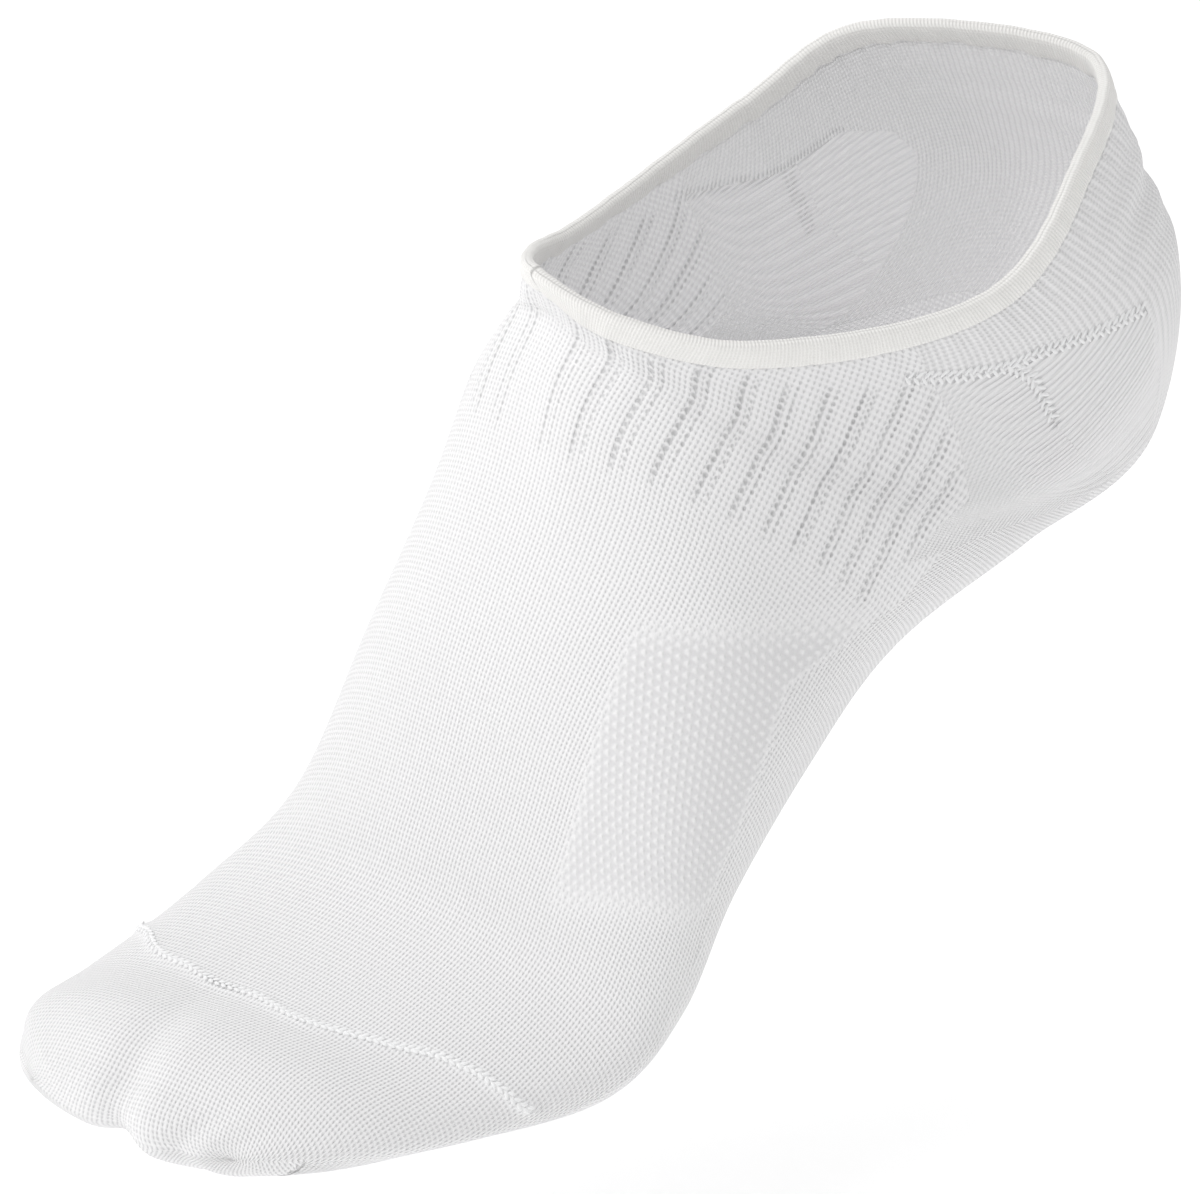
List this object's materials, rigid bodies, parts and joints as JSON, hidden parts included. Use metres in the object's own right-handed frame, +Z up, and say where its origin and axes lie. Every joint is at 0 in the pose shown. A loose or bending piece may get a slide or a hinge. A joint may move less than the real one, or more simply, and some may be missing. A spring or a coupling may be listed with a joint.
{
  "type": "no-show sock",
  "caption": "Low-cut knitted sock with a rounded toe pocket, a swollen heel pocket and a folded elastic band round the foot opening, filled out as when worn.",
  "frame": {"origin": "in the middle of the foot opening, where the ankle passes out of the sock", "axes": "+Z up out of the opening, toes towards -Y, heel towards +Y, little toe side +X; the heel is raised as on tiptoe"},
  "size_m": [0.0892, 0.2222, 0.1469],
  "materials": {
    "knit": "matt fine cotton knit",
    "band": "matt elastic rib, slightly warmer"
  },
  "bodies": {
    "root": {"toe_pocket": "knit", "sock_body": "knit", "top_band": "band"}
  },
  "joints": []
}
